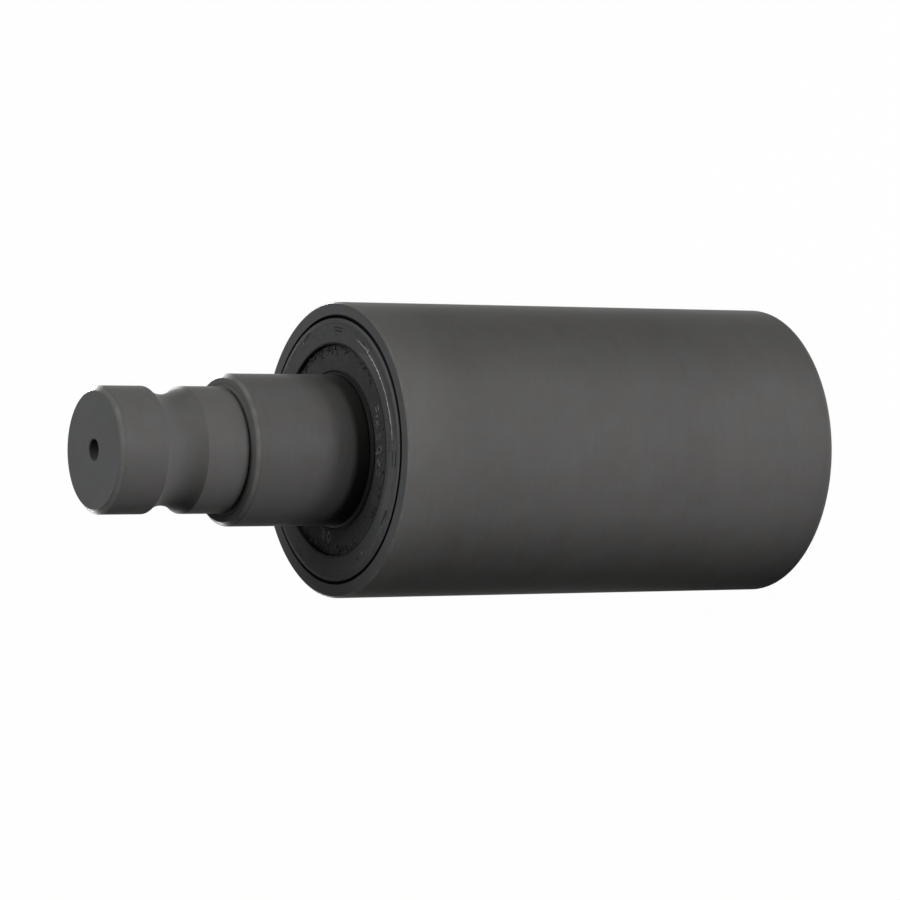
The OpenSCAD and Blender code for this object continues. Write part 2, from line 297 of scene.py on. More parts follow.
def oxide_steel(
    name,
    colour,
    face_colour,
    roughness,
    line_size,
    line_depth,
    mottle=0.05,
    sheen=0.01,
    rubbed_and_highlit_edges=(),
    etched=False,
    shade_mask=None,
    painted_light_ramps=(),
    painted_shade_sides=(),
):
    """Satin black oxide on turned steel: soft mottling, fine feed lines, a dull grain, painted light and painted
    shade.

    Faces square to the axis take face_colour. rubbed_and_highlit_edges holds (radius, height, reach) of corners
    painted lighter, in metres: partly handling wear, partly a painted highlight. painted_light_ramps holds (height,
    height, amount): painted light makes the steel lighter from the first height to the second. painted_shade_sides
    holds (angle, half its width, fade, amount) of a side darkened as painted shade. shade_mask makes a mask of
    painted shade, near black, by crevices and corners, from radius, angle and height.
    """
    finish = Finish(name, Specular_IOR_Level=sheen)
    radius, angle, z, turned = finish.turned_place(around=0.004)
    place = finish.place()
    clouds = finish.noise(place, 22 * MM, 3.0, 0.6)
    blots = finish.noise(place, 6 * MM, 2.0, 0.5)
    grain = finish.noise(place, 0.45 * MM, 2.0, 0.6)
    lines = finish.noise(turned, line_size, 2.0, 0.7)
    bands = finish.noise(turned, 4 * line_size, 2.0, 0.5)
    shade = (
        1
        + (clouds - 0.5) * (4 * mottle)
        + (blots - 0.5) * (2.4 * mottle)
        + (grain - 0.5) * 0.05
        + (lines - 0.5) * 0.13
        + (bands - 0.5) * 0.10
    )
    # Painted light: each ramp makes the steel lighter along the axis.
    for start, stop, amount in painted_light_ramps:
        shade = shade + z.over(start, stop) * amount
    # Painted shade: each entry darkens one side of the surface.
    for middle, half, soft, amount in painted_shade_sides:
        shade = shade - finish.sector(angle, -middle, half, soft) * amount
    tint = finish.mix(blots.over(0.3, 0.7), (1.02, 0.99, 0.965), (0.975, 1.0, 1.01))
    facing = abs(finish.axis(finish.node("ShaderNodeNewGeometry", out="True Normal"), "Z")).over(0.86, 0.95)
    steel = finish.mix(facing, colour, face_colour)
    base = finish.shaded(finish.mix(1.0, tint, steel, "MULTIPLY"), shade)
    rough = roughness + (clouds - 0.5) * 0.10 + (grain - 0.5) * 0.08
    height = lines
    # Corners painted lighter: partly handling wear, partly a painted highlight on the chamfers.
    for edge_radius, edge_height, reach in rubbed_and_highlit_edges:
        near = ((radius - edge_radius) ** 2.0 + (z - edge_height) ** 2.0) ** 0.5
        rubbed_and_highlit = 1 - near.over(0.2 * reach, reach)
        patchy = rubbed_and_highlit * (0.45 + finish.noise(place, 5 * MM, 4.0, 0.6).over(0.4, 0.65) * 0.55)
        base = finish.mix(patchy * 0.6, base, times(colour, 2.3))
        rough = rough - patchy * 0.1
    if etched:
        base, rough, cut = etched_face(finish, place, radius, angle, turned, base, rough, colour)
        height = lines - cut * 6
    # Painted shade: the mask blackens crevices and corners.
    if shade_mask:
        black = shade_mask(finish, radius, angle, z, clouds)
        base = finish.mix(black, base, SHADE_BLACK)
    normal = finish.bump(grain, 0.002 * MM, finish.bump(height, line_depth))
    return finish.set(Base_Color=base, Roughness=rough, Normal=normal)


def bright_steel(name, colour, roughness, scratch_size, depth):
    """Bare steel with fine scratches that run round the axis, and a thin film of old oil."""
    finish = Finish(name, Metallic=1.0)
    turned = finish.turned_place(around=0.003)[3]
    scratches = finish.noise(turned, scratch_size, 3.0, 0.7)
    haze = finish.noise(finish.place(), 6 * MM, 3.0)
    shade = 0.9 + scratches * 0.16 + (haze - 0.5) * 0.2
    base = finish.shaded(colour, shade)
    oil = finish.noise(finish.place(), 1.8 * MM, 4.0, 0.6).over(0.55, 0.75)
    base = finish.mix(oil * 0.35, base, (0.10, 0.085, 0.06))
    return finish.set(
        Base_Color=base,
        Roughness=roughness + (scratches - 0.5) * 0.2 + (haze - 0.5) * 0.1 + oil * 0.08,
        Normal=finish.bump(scratches, depth),
    )


def moulded_rubber(name, colour, roughness):
    """Matt moulded rubber, a little dusty, with a fine grain, a crust of old grease by the mouth and painted shade,
    near black, round the collar.
    """
    finish = Finish(name, Specular_IOR_Level=0.03)
    radius, angle, z, turned = finish.turned_place(around=0.004)
    place = finish.place()
    grain = finish.noise(place, 0.35 * MM, 3.0, 0.6)
    dust = finish.noise(place, 3 * MM, 3.0, 0.6)
    rings = finish.noise(turned, 0.5 * MM, 2.0, 0.6)
    shade = 1 + (grain - 0.5) * 0.35 + (dust - 0.5) * 0.6 + (rings - 0.5) * 0.2
    base = finish.shaded(colour, shade)
    rough = roughness + (dust - 0.5) * 0.2
    lumps = finish.noise(place, 0.9 * MM, 4.0, 0.7)
    heavy = (
        (finish.sector(angle, 12, 26, 12) * 0.55)
        .larger(finish.sector(angle, -30, 16, 9) * 0.6)
        .larger(finish.sector(angle, -123, 12, 8) * 0.6)
        .larger(finish.sector(angle, 165, 26, 10) * 0.8)
    )
    by_mouth = radius.over(27.5 * MM, 31.6 * MM)
    caked = (lumps + by_mouth * heavy * 0.36).over(0.66, 0.74)
    # Painted shade: near black round the collar, close to the shaft.
    collar_shade = 1 - radius.over(23.9 * MM, 24.15 * MM)
    base = finish.mix(caked * 0.85, base, GREASE_AND_SHADE_BLACK)
    base = finish.mix(collar_shade * 0.9, base, GREASE_AND_SHADE_BLACK)
    rough = rough - caked * 0.3
    lumps = lumps + caked * 0.8
    normal = finish.bump(grain, 0.03 * MM, finish.bump(lumps, 0.22 * MM))
    return finish.set(Base_Color=base, Roughness=rough, Normal=normal)


def shell_crevice_shade(finish, radius, angle, z, clouds):
    """Painted shade, near black, in the lead of the bearing seat at the front end, reaching further out on one side.
    """
    spread = radius - finish.sector(angle, -42, 35, 30) * (0.54 * MM)
    return z.over(SHELL_END - 2.5 * MM, SHELL_END - 2 * MM) * (1 - spread.over(40.25 * MM, 40.5 * MM))


def ring_crevice_shade(finish, radius, angle, z, clouds):
    """Painted shade, near black, on the corner breaks of an outer ring: narrower on one side and wider on another."""
    narrower = finish.sector(angle, -45, 20, 40) * (0.14 * MM)
    wider = finish.sector(angle, 176, 18, 12) * (0.22 * MM)
    spread = radius - narrower + wider
    return spread.over(39.42 * MM, 39.55 * MM)


def shaft_painted_shade(finish, radius, angle, z, clouds):
    """Painted shade that fades along the shoulder from the bearing, streaked round the shaft, and near black at its
    root.
    """
    streaks = finish.noise(finish.turned_place(around=0.010)[3], 0.9 * MM, 3.0, 0.65)
    reach = z + (streaks - 0.5) * (5 * MM)
    fade = (1 - reach.over(SHELL_END, SHELL_END + 13 * MM)) * (0.48 + clouds * 0.2)
    return fade.larger((1 - z.over(SHELL_END + 0.2 * MM, SHELL_END + 1.1 * MM)) * 0.9)


RIM_BREAK = 0.25 * MM
JOURNAL_BREAK = 0.75 * MM
rim = (
    (SHELL_R - RIM_BREAK, SHELL_END - RIM_BREAK, 0.6 * MM),
    (SHELL_R - RIM_BREAK, RIM_BREAK, 1.2 * MM),
)
shaft_edges = (
    (JOURNAL_R - JOURNAL_BREAK, SHAFT_END - JOURNAL_BREAK, 1.1 * MM),
    (SHOULDER_R, SHOULDER_TOP, 1.0 * MM),
)
finishes = {
    "oxide_shell": oxide_steel(
        "oxide_shell", (0.0785, 0.0785, 0.0730), (0.0715, 0.071, 0.0755), 0.37, 0.5 * MM, 0.002 * MM,
        # Painted shade blackens the lead of the bearing seat at the front end.
        rubbed_and_highlit_edges=rim, shade_mask=shell_crevice_shade,
        # Painted light makes both ends of the shell lighter.
        painted_light_ramps=((52 * MM, 4 * MM, 0.22), (SHELL_END - 22 * MM, SHELL_END - 3 * MM, 0.2)),
        # Painted shade darkens the shell's -X side and a narrow side toward +X and -Y.
        painted_shade_sides=((172, 15, 42, 0.42), (38, 10, 16, 0.14)),
    ),
    "oxide_shaft": oxide_steel(
        "oxide_shaft", (0.0868, 0.0865, 0.0822), (0.081, 0.081, 0.084), 0.37, 0.8 * MM, 0.005 * MM, sheen=0.012,
        # Painted shade darkens the shoulder next to the bearing.
        rubbed_and_highlit_edges=shaft_edges, shade_mask=shaft_painted_shade,
        # Painted light makes the shaft lighter over its last 40 mm, out to its end.
        painted_light_ramps=((SHAFT_END - 44 * MM, SHAFT_END - 40 * MM, 0.16),),
    ),
    "oxide_ring": oxide_steel("oxide_ring", (0.070, 0.070, 0.072), (0.070, 0.070, 0.073), 0.42, 0.4 * MM, 0.002 * MM),
    # Painted shade: the front inner ring is near black, beside the shaft's root.
    "shaded_front_inner_ring": oxide_steel(
        "shaded_front_inner_ring", (0.006, 0.006, 0.006), (0.005, 0.005, 0.005), 0.5, 0.4 * MM, 0.004 * MM, 0.2, 0.08
    ),
    # Painted shade darkens both outer rings on their -X side.
    "marked_ring": oxide_steel(
        "marked_ring", (0.070, 0.070, 0.073), (0.0655, 0.0655, 0.0685), 0.42, 0.6 * MM, 0.002 * MM,
        # Painted shade blackens the corner breaks of both outer rings.
        etched=True, shade_mask=ring_crevice_shade, painted_shade_sides=((178, 20, 40, 0.15),),
    ),
    "bearing_steel": bright_steel("bearing_steel", (0.62, 0.62, 0.64), 0.18, 0.3 * MM, 0.001 * MM),
    "plain_steel": bright_steel("plain_steel", (0.46, 0.45, 0.43), 0.38, 0.6 * MM, 0.003 * MM),
    "spring_steel": bright_steel("spring_steel", (0.13, 0.13, 0.14), 0.45, 0.5 * MM, 0.003 * MM),
    "seal_rubber": moulded_rubber("seal_rubber", (0.041, 0.041, 0.043), 0.62),
}
slot_of = {part["node"]: part["material_slot"] for part in frame["record"]["subparts"]}
slot_of["front_outer_ring"] = slot_of["rear_outer_ring"] = "marked_ring"
slot_of["front_inner_ring"] = "shaded_front_inner_ring"
for node, piece in frame["nodes"].items():
    for index in range(len(piece.material_slots)):
        piece.material_slots[index].material = finishes[slot_of[node]]


# ---------------------------------------------------------------- small pieces on the front bearing
def on_face(radius, degrees, height):
    """A point at an angle on the front face, clockwise from +X."""
    a = math.radians(degrees)
    return Vector((radius * math.cos(a), -radius * math.sin(a), height))


class Plan:
    """A Geometry Nodes tree with named inputs, which ends as one plain mesh."""

    def __init__(self, name, **inputs):
        self.tree = bpy.data.node_groups.new(name, "GeometryNodeTree")
        self.tree.interface.new_socket("Geometry", in_out="INPUT", socket_type="NodeSocketGeometry")
        self.tree.interface.new_socket("Geometry", in_out="OUTPUT", socket_type="NodeSocketGeometry")
        self.values = {}
        for label, value in inputs.items():
            kind = "NodeSocketInt" if isinstance(value, int) else "NodeSocketFloat"
            socket = self.tree.interface.new_socket(label, in_out="INPUT", socket_type=kind)
            self.values[socket.identifier] = value
        self.start = self.tree.nodes.new("NodeGroupInput")

    def input(self, label):
        return self.start.outputs[label]

    def node(self, kind, settings=None, sockets=None, out=0):
        made = self.tree.nodes.new(kind)
        for key, value in (settings or {}).items():
            setattr(made, key, value)
        for key, value in (sockets or {}).items():
            if isinstance(value, bpy.types.NodeSocket):
                self.tree.links.new(value, made.inputs[key])
            else:
                made.inputs[key].default_value = value
        return made.outputs[out]

    def math(self, operation, *terms):
        return self.node("ShaderNodeMath", {"operation": operation}, dict(enumerate(terms)))

    def toward(self, ray, degrees, half, soft, most=1.0):
        """most within half degrees of an angle on the front face, fading to 0 over soft degrees on either side."""
        sockets = {0: ray, 1: on_face(1, degrees, 0)}
        along = self.node("ShaderNodeVectorMath", {"operation": "DOT_PRODUCT"}, sockets, out="Value")
        near, far = fade_cosines(half, soft)
        return self.ramp(along, far, near, most)

    def ramp(self, value, low, high, most=1.0):
        """0 below low, most above high."""
        sockets = {"Value": value, "From Min": low, "From Max": high, "To Max": most}
        return self.node("ShaderNodeMapRange", None, sockets)

    def seeded_noise(self, place, scale, detail, roughness):
        """Noise over a place, drawn with the plan's Seed."""
        sockets = {"Vector": place, "W": self.input("Seed"), "Scale": scale, "Detail": detail, "Roughness": roughness}
        return self.node("ShaderNodeTexNoise", {"noise_dimensions": "4D"}, sockets)

    def circle(self, resolution, radius):
        return self.node("GeometryNodeCurvePrimitiveCircle", None, {"Resolution": resolution, "Radius": radius})

    def raised(self, geometry, height):
        return self.node("GeometryNodeTransform", None, {"Geometry": geometry, "Translation": (0, 0, height)})

    def drifted(self, curve, place, share):
        """A curve whose points move away from the axis by a share of their distance from it."""
        drift = self.node("ShaderNodeVectorMath", {"operation": "SCALE"}, {0: place, "Scale": share})
        return self.node("GeometryNodeSetPosition", None, {"Geometry": curve, "Offset": drift})

    def build(self, name, geometry, material, body):
        """Evaluates the tree on an empty mesh and returns the result as a piece that rides on a body."""
        real = self.node("GeometryNodeRealizeInstances", None, {"Geometry": geometry})
        coated = self.node("GeometryNodeSetMaterial", None, {"Geometry": real, "Material": material})
        end = self.tree.nodes.new("NodeGroupOutput")
        self.tree.links.new(coated, end.inputs["Geometry"])
        holder = bpy.data.objects.new(name + "_plan", bpy.data.meshes.new(name + "_plan"))
        bpy.context.scene.collection.objects.link(holder)
        modifier = holder.modifiers.new("plan", "NODES")
        modifier.node_group = self.tree
        for identifier, value in self.values.items():
            modifier[identifier] = value
        seen = holder.evaluated_get(bpy.context.evaluated_depsgraph_get())
        mesh = bpy.data.meshes.new_from_object(seen)
        mesh.name = name
        bpy.data.objects.remove(holder)
        mesh.materials.clear()
        mesh.materials.append(material)
        for face in mesh.polygons:
            face.use_smooth, face.material_index = True, 0
        piece = bpy.data.objects.new(name, mesh)
        bpy.context.scene.collection.objects.link(piece)
        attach(piece, body)
        return piece


def glossy_rubber(name, colour, roughness, size, depth, sheen):
    """Rubber that has squeezed out and been rubbed shiny, with small lumps and light specks painted as glints."""
    finish = Finish(name, Specular_IOR_Level=sheen)
    place = finish.place()
    lumps = finish.noise(place, size, 4.0, 0.7)
    specks_and_glints = finish.noise(place, 0.3 * size, 2.0, 0.6)
    shade = 0.7 + lumps * 0.6
    base = finish.shaded(colour, shade)
    # Painted highlight: light specks stand for glints.
    base = finish.mix(specks_and_glints.over(0.62, 0.74) * 0.6, base, (0.14, 0.14, 0.145))
    return finish.set(
        Base_Color=base,
        Roughness=roughness + (lumps - 0.5) * 0.25,
        Normal=finish.bump(specks_and_glints, 0.4 * depth, finish.bump(lumps, depth)),
    )


# Near black: partly squeezed rubber, partly painted shade of the gap at the ring's mouth.
squeezed_and_shade_black = glossy_rubber("squeezed_rubber_and_shade", (0.005, 0.005, 0.005), 0.45, 0.8 * MM, 0.15 * MM, 0.03)
# The marks' rubber is paler than the web: partly rubbed, partly a painted highlight.
rubbed_and_highlit = glossy_rubber("rubbed_and_highlit_rubber", (0.085, 0.085, 0.088), 0.30, 0.5 * MM, 0.04 * MM, 0.22)
# Pale grey: partly a shiny lip, partly a painted highlight along the smear's edge.
shiny_and_highlit = glossy_rubber("shiny_highlit_edge", (0.30, 0.30, 0.305), 0.22, 0.6 * MM, 0.03 * MM, 0.9)
smeared = glossy_rubber("smeared_rubber", (0.066, 0.066, 0.069), 0.42, 1.2 * MM, 0.06 * MM, 0.04)
crumbs = glossy_rubber("crumbs_of_rubber", (0.012, 0.012, 0.012), 0.36, 0.5 * MM, 0.10 * MM, 0.12)


# Raised moulding marks on the seal's web, all plain shapes: (angle, radius in mm, strokes). A stroke is an oval
# (middle along and across, half sizes along and across) or a bar (both ends), in mm along the radius and across it.
STAR = (
    ("bar", (-1.5, 0.0), (1.5, 0.0)),
    ("bar", (-0.8, -1.0), (0.8, 1.0)),
    ("bar", (-0.8, 1.0), (0.8, -1.0)),
)
LOZENGE = (
    ("bar", (-1.7, 0.0), (0.0, 1.1)),
    ("bar", (0.0, 1.1), (1.7, 0.0)),
    ("bar", (1.7, 0.0), (0.0, -1.1)),
    ("bar", (0.0, -1.1), (-1.7, 0.0)),
)
TICKS = (("bar", (-0.7, -0.9), (-0.7, 0.9)), ("bar", (0.7, -0.9), (0.7, 0.9)))
HATCH = (
    ("bar", (-1.6, -0.9), (-0.6, 0.9)),
    ("bar", (-0.5, -0.9), (0.5, 0.9)),
    ("bar", (0.6, -0.9), (1.6, 0.9)),
)
PIP = (("oval", (0.0, 0.0), (0.35, 0.35)),)
MARKS = (
    (64.5, 28.0, TICKS),
    (68.5, 26.9, PIP),
    (73.0, 26.6, STAR),
    (81.5, 26.5, HATCH),
    (90.0, 26.6, LOZENGE),
    (92.4, 24.9, PIP),
    (98.4, 26.5, STAR),
    (105.3, 26.6, TICKS),
    (-171.0, 26.4, LOZENGE),
    (-163.5, 26.4, HATCH),
)
# Marks at angles below this one stand out less from the web.
SHALLOW_BELOW = -150
SHALLOW_SINK = 0.27 * MM


def moulding_marks(name, face, body):
    """Ovals and bars of one round profile, swept along short curves that lie on a seal's web."""
    plan = Plan(name, Profile_Radius=0.28 * MM, Profile_Sides=10)
    joined = plan.tree.nodes.new("GeometryNodeJoinGeometry")
    for degrees, middle, strokes in MARKS:
        sink = SHALLOW_SINK if degrees < SHALLOW_BELOW else 0
        mark = plan.tree.nodes.new("GeometryNodeJoinGeometry")
        for kind, first, second in strokes:
            if kind == "oval":
                middle_at = (first[0] * MM, first[1] * MM, 0)
                sockets = {"Geometry": plan.circle(22, MM), "Translation": middle_at, "Scale": (*second, 1)}
                stroke = plan.node("GeometryNodeTransform", None, sockets)
            else:
                stroke = plan.node(
                    "GeometryNodeCurvePrimitiveLine",
                    None,
                    {"Start": (first[0] * MM, first[1] * MM, 0), "End": (second[0] * MM, second[1] * MM, 0)},
                )
                stroke = plan.node("GeometryNodeResampleCurve", None, {"Curve": stroke, "Count": 7})
            plan.tree.links.new(stroke, mark.inputs[0])
        placed = plan.node(
            "GeometryNodeTransform",
            None,
            {
                "Geometry": mark.outputs[0],
                "Translation": on_face(middle * MM, degrees, face - sink),
                "Rotation": (0.0, 0.0, -math.radians(degrees)),
            },
        )
        plan.tree.links.new(placed, joined.inputs[0])
    profile = plan.circle(plan.input("Profile_Sides"), plan.input("Profile_Radius"))
    swept = plan.node(
        "GeometryNodeCurveToMesh",
        None,
        {"Curve": joined.outputs[0], "Profile Curve": profile, "Fill Caps": True},
    )
    return plan.build(name, swept, rubbed_and_highlit, body)


moulding_marks("seal_moulding_marks", WEB_FACE + 0.04 * MM, "roller_unit")


# Sectors where the bead, partly painted shade of the gap, is thick: (middle angle, half its width).
THICK_BEAD = ((-12, 34), (178, 22))


def bead_and_gap_shade(name, body):
    """A ragged black bead where the seal snaps into the ring, partly squeezed-out rubber and partly painted shade of
    the gap: a ring swept with an uneven profile.
    """
    plan = Plan(name, Ring_Radius=MOUTH_R + 0.28 * MM, Ring_Steps=720, Thin=0.09 * MM, Swell=0.30 * MM, Seed=7.0)
    ring = plan.circle(plan.input("Ring_Steps"), plan.input("Ring_Radius"))
    place = plan.node("GeometryNodeInputPosition")
    rough = plan.seeded_noise(place, 900.0, 3.0, 0.7)
    slow = plan.seeded_noise(place, 60.0, 2.0, 0.5)
    heavy = plan.math("MULTIPLY", plan.ramp(slow, 0.42, 0.62), 0.4)
    ray = plan.node("ShaderNodeVectorMath", {"operation": "NORMALIZE"}, {0: place})
    for degrees, half in THICK_BEAD:
        heavy = plan.math("MAXIMUM", heavy, plan.toward(ray, degrees, half, 8, 0.8))
    lump = plan.ramp(rough, 0.35, 0.7)
    swell = plan.math("MULTIPLY", plan.math("MULTIPLY", heavy, lump), plan.input("Swell"))
    thick = plan.math("ADD", plan.input("Thin"), swell)
    moved = plan.drifted(ring, place, plan.math("MULTIPLY", swell, -10.0))
    sockets = {"Curve": moved, "Profile Curve": plan.circle(8, 1.0), "Scale": thick}
    swept = plan.node("GeometryNodeCurveToMesh", None, sockets)
    return plan.build(name, plan.raised(swept, RING_FACE - 0.02 * MM), squeezed_and_shade_black, body)


bead_and_gap_shade("seal_bead_and_gap_shade", "roller_unit")

# Sectors of the front seal that crumbs of rubber and grease cling to: (middle angle, half its width, how thick).
CAKED = (
    (-2, 13, 1.0),
    (-31, 9, 0.75),
    (34, 12, 0.9),
    (84, 10, 0.35),
    (120, 13, 0.7),
    (166, 8, 0.6),
    (-166, 13, 0.9),
    (-146, 9, 0.8),
)


def clinging_crumbs(name, body):
    """Small rounded crumbs, scattered on the seal's web where it meets the ring's mouth."""
    plan = Plan(
        name,
        Mouth_Radius=MOUTH_R - 0.15 * MM,
        Crumbs_Per_Square_Metre=0.42e7,
        Smallest=0.12 * MM,
        Size_Range=0.38 * MM,
    )
    side = plan.math("MULTIPLY", plan.input("Mouth_Radius"), 2.02)
    sockets = {"Size X": side, "Size Y": side, "Vertices X": 260, "Vertices Y": 260}
    sheet = plan.node("GeometryNodeMeshGrid", None, sockets)
    place = plan.node("GeometryNodeInputPosition")
    far = plan.node("ShaderNodeVectorMath", {"operation": "LENGTH"}, {0: place}, out="Value")
    ray = plan.node("ShaderNodeVectorMath", {"operation": "NORMALIZE"}, {0: place})
    thick = None
    for degrees, half, amount in CAKED:
        part = plan.toward(ray, degrees, half, 7, amount)
        thick = part if thick is None else plan.math("MAXIMUM", thick, part)
    outward = plan.math("POWER", plan.ramp(far, 27.6 * MM, 31.2 * MM), 1.5)
    outward = plan.math("MULTIPLY", outward, plan.math("LESS_THAN", far, plan.input("Mouth_Radius")))
    sockets = {"Vector": place, "Scale": 380.0, "Detail": 2.0, "Roughness": 0.6}
    patches = plan.ramp(plan.node("ShaderNodeTexNoise", None, sockets), 0.47, 0.57)
    chance = plan.math("MULTIPLY", plan.math("MULTIPLY", thick, outward), patches)
    density = plan.math("MULTIPLY", chance, plan.input("Crumbs_Per_Square_Metre"))
    sockets = {"Mesh": sheet, "Density": density, "Seed": 3}
    points = plan.node("GeometryNodeDistributePointsOnFaces", {"distribute_method": "RANDOM"}, sockets)
    crumb = plan.node("GeometryNodeMeshIcoSphere", None, {"Radius": 1.0, "Subdivisions": 2})
    spread = plan.node("FunctionNodeRandomValue", {"data_type": "FLOAT"}, {"Seed": 5}, out=1)
    extra = plan.math("MULTIPLY", plan.math("POWER", spread, 2.0), plan.input("Size_Range"))
    size = plan.math("ADD", plan.input("Smallest"), extra)
    scale = plan.node("ShaderNodeCombineXYZ", None, {"X": size, "Y": plan.math("MULTIPLY", size, 1.25), "Z": size})
    turn = plan.node("FunctionNodeRandomValue", {"data_type": "FLOAT"}, {"Max": TURN, "Seed": 9}, out=1)
    turn = plan.node("ShaderNodeCombineXYZ", None, {"Z": turn})
    crowd = plan.node(
        "GeometryNodeInstanceOnPoints", None, {"Points": points, "Instance": crumb, "Scale": scale, "Rotation": turn}
    )
    return plan.build(name, plan.raised(crowd, WEB_FACE + 0.03 * MM), crumbs, body)


clinging_crumbs("seal_crumbs", "roller_unit")


def smeared_film(name, start, stop, inner, outer, thick, body):
    """A thin film of rubber on the ring's face, thicker along its uneven outer edge and at its end."""
    rng = np.random.default_rng(11)
    steps, across = 150, 16

    def smooth_draws(window, margin):
        weights = np.hanning(window) / np.hanning(window).sum()
        return np.convolve(rng.normal(0, 1, steps + 2 * margin), weights, "same")[margin:-margin]

    wander = smooth_draws(21, 20)
    chatter = smooth_draws(5, 4)
    mesh = bmesh.new()
    top, low = [], []
    for i in range(steps):
        t = i / (steps - 1)
        fade = min(1.0, t / 0.18)
        end = min(1.0, (1 - t) / 0.03)
        reach = inner + (outer - inner) * (0.25 + 0.75 * fade) * (0.55 + 0.45 * end)
        reach = reach + (0.18 * wander[i] + 0.05 * chatter[i]) * MM
        blob = math.exp(-(((t - 0.86) / 0.11) ** 2))
        degrees = start + (stop - start) * t
        row_top, row_low = [], []
        for j in range(across):
            u = j / (across - 1)
            radius = inner + (reach - inner) * u
            lip = math.exp(-(((u - 0.93) / 0.045) ** 2)) * (0.9 + 0.4 * chatter[i])
            ripple = 0.25 * math.sin(9 * u * math.pi + 0.7 * wander[i]) * blob
            ripple = ripple + 0.5 * blob * abs(math.sin(26 * t * math.pi))
            rise = thick * (0.30 + 1.1 * lip * fade + 1.4 * blob * (1 - (2 * u - 1) ** 4) * 0.5 + ripple * 0.5)
            edge = min(1.0, u / 0.04, (1 - u) / 0.02) * end * min(1.0, t / 0.02)
            place = on_face(radius, degrees, RING_FACE)
            row_low.append(mesh.verts.new(place - Vector((0, 0, 0.01 * MM))))
            row_top.append(mesh.verts.new(place + Vector((0, 0, max(rise, 0.02 * MM) * max(edge, 0.05)))))
        top.append(row_top)
        low.append(row_low)
    for i in range(steps - 1):
        for j in range(across - 1):
            mesh.faces.new((top[i][j], top[i + 1][j], top[i + 1][j + 1], top[i][j + 1]))
            mesh.faces.new((low[i][j], low[i][j + 1], low[i + 1][j + 1], low[i + 1][j]))
        for j in (0, across - 1):
            ring = (top[i][j], low[i][j], low[i + 1][j], top[i + 1][j])
            mesh.faces.new(ring if j == 0 else ring[::-1])
    for i in (0, steps - 1):
        for j in range(across - 1):
            ring = (top[i][j], top[i][j + 1], low[i][j + 1], low[i][j])
            mesh.faces.new(ring if i == 0 else ring[::-1])
    bmesh.ops.recalc_face_normals(mesh, faces=mesh.faces)
    data = bpy.data.meshes.new(name)
    mesh.to_mesh(data)
    mesh.free()
    data.materials.append(smeared)
    for face in data.polygons:
        face.use_smooth = True
    piece = bpy.data.objects.new(name, data)
    bpy.context.scene.collection.objects.link(piece)
    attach(piece, body)
    return piece


FILM_OUTER = 35.85 * MM
smeared_film("ring_face_smear", 30, 91, MOUTH_R + 0.75 * MM, FILM_OUTER, 0.06 * MM, "roller_unit")


def smear_edge(name, start, stop, radius, body):
    """The shiny raised edge of the smear, pale as a painted highlight: an arc swept with a thickness that comes and
    goes.
    """
    plan = Plan(name, Edge_Radius=radius, Edge_Steps=420, Thin=0.04 * MM, Swell=0.26 * MM, Seed=2.0)
    arc = plan.node(
        "GeometryNodeCurveArc",
        {"mode": "RADIUS"},
        {
            "Resolution": plan.input("Edge_Steps"),
            "Radius": plan.input("Edge_Radius"),
            "Start Angle": -math.radians(start),
            "Sweep Angle": -math.radians(stop - start),
        },
    )
    place = plan.node("GeometryNodeInputPosition")
    fine = plan.seeded_noise(place, 700.0, 3.0, 0.6)
    slow = plan.seeded_noise(place, 130.0, 2.0, 0.5)
    swell = plan.ramp(fine, 0.3, 0.7)
    along = plan.node("GeometryNodeSplineParameter")
    ends = plan.math("MULTIPLY", plan.math("MULTIPLY", along, plan.math("SUBTRACT", 1.0, along)), 5.0)
    ends = plan.math("MINIMUM", ends, 1.0)
    extra = plan.math("MULTIPLY", plan.math("MULTIPLY", swell, ends), plan.input("Swell"))
    thick = plan.math("ADD", plan.input("Thin"), extra)
    wave = plan.math("MULTIPLY", plan.math("SUBTRACT", slow, 0.5), 0.035)
    moved = plan.drifted(arc, place, wave)
    sockets = {"Curve": moved, "Profile Curve": plan.circle(8, 1.0), "Scale": thick, "Fill Caps": True}
    swept = plan.node("GeometryNodeCurveToMesh", None, sockets)
    return plan.build(name, plan.raised(swept, RING_FACE + 0.03 * MM), shiny_and_highlit, body)


smear_edge("ring_face_smear_edge", 24, 90, FILM_OUTER + 0.05 * MM, "roller_unit")

# ---------------------------------------------------------------- floor, light and camera
floor_mesh = bpy.data.meshes.new("floor")
FLOOR_HALF = 6
floor_corners = [(x * FLOOR_HALF, y * FLOOR_HALF, 0) for x, y in ((-1, -1), (1, -1), (1, 1), (-1, 1))]
floor_mesh.from_pydata(floor_corners, [], [(0, 1, 2, 3)])
floor = bpy.data.objects.new("floor", floor_mesh)
bpy.context.scene.collection.objects.link(floor)


